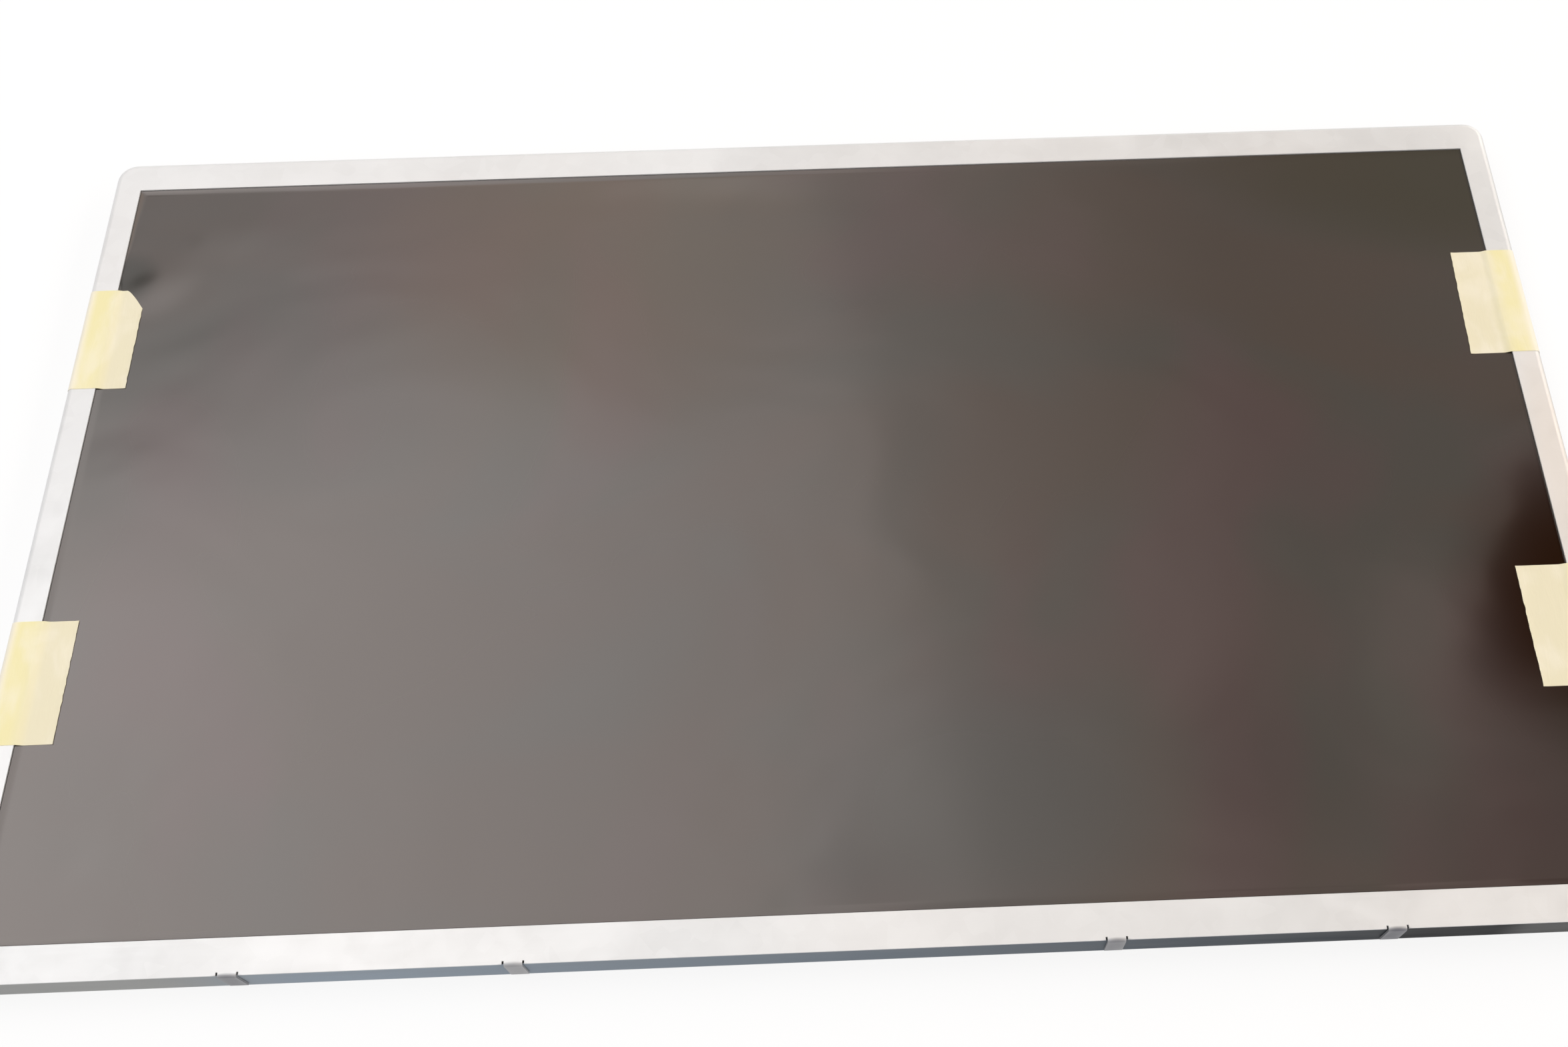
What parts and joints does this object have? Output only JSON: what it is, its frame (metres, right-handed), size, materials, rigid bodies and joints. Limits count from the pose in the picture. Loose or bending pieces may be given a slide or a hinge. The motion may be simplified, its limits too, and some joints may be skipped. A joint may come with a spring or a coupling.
{
  "type": "lcd panel",
  "caption": "Bare LCD module for a monitor: folded steel bezel round a dark glossy screen, with edge-lit backlight, rear tray, covered control board and side mounting holes.",
  "frame": {"origin": "under the middle of the module's outline, on the surface that it lies on face up", "axes": "+X along the width, to the right as the picture is seen; +Y up the picture; +Z out of the display"},
  "size_m": [0.4306, 0.2546, 0.0116],
  "materials": {
    "bezel_steel": "satin coated steel sheet",
    "clear_film": "clear glossy film",
    "dark_polarizer": "glossy dark film",
    "cell_glass": "polished",
    "black_foam": "matte foam",
    "flex_film": "glossy amber film",
    "chip_black": "matte moulded",
    "frame_plastic": "moulded, fine grain",
    "optical_film": "frosted film",
    "guide_acrylic": "polished acrylic",
    "white_film": "matte white film",
    "led_bar": "white coated metal board",
    "led_body": "moulded, with phosphor",
    "grey_tape": "matte tape",
    "socket_plastic": "moulded",
    "contact_metal": "gold plated",
    "tray_steel": "galvanised steel sheet",
    "black_film": "satin black film",
    "board_green": "solder mask",
    "capacitor_tan": "ceramic with plated ends",
    "screw_steel": "zinc plated",
    "cover_steel": "tin plated sheet",
    "yellow_tape": "thin paper tape, slightly shiny"
  },
  "bodies": {
    "root": {"front_bezel": "bezel_steel", "protective_film": "clear_film", "front_polarizer": "dark_polarizer", "rear_polarizer": "dark_polarizer", "color_filter_glass": "cell_glass", "tft_glass": "cell_glass", "cell_seat": "black_foam", "cushion_left": "black_foam", "cushion_right": "black_foam", "cushion_top": "black_foam", "cushion_bottom": "black_foam", "source_flex_1": "flex_film", "source_flex_2": "flex_film", "source_flex_3": "flex_film", "source_flex_4": "flex_film", "led_tail": "flex_film", "driver_chip_1": "chip_black", "driver_chip_2": "chip_black", "driver_chip_3": "chip_black", "driver_chip_4": "chip_black", "timing_chip": "chip_black", "memory_chip": "chip_black", "power_chip": "chip_black", "power_coil": "chip_black", "mid_frame": "frame_plastic", "upper_prism_sheet": "optical_film", "lower_prism_sheet": "optical_film", "diffuser_sheet": "optical_film", "light_guide": "guide_acrylic", "reflector_sheet": "white_film", "led_board": "led_bar", "led_packages": "led_body", "thermal_tape": "grey_tape", "backlight_socket": "socket_plastic", "signal_socket": "socket_plastic", "backlight_contacts": "contact_metal", "signal_contacts": "contact_metal", "rear_tray": "tray_steel", "board_insulator": "black_film", "edge_tape": "black_film", "control_board": "board_green", "board_capacitors": "capacitor_tan", "board_screws": "screw_steel", "cover_screws": "screw_steel", "board_cover": "cover_steel", "tape_left_upper": "yellow_tape", "tape_left_lower": "yellow_tape", "tape_right_upper": "yellow_tape", "tape_right_lower": "yellow_tape"}
  },
  "joints": []
}
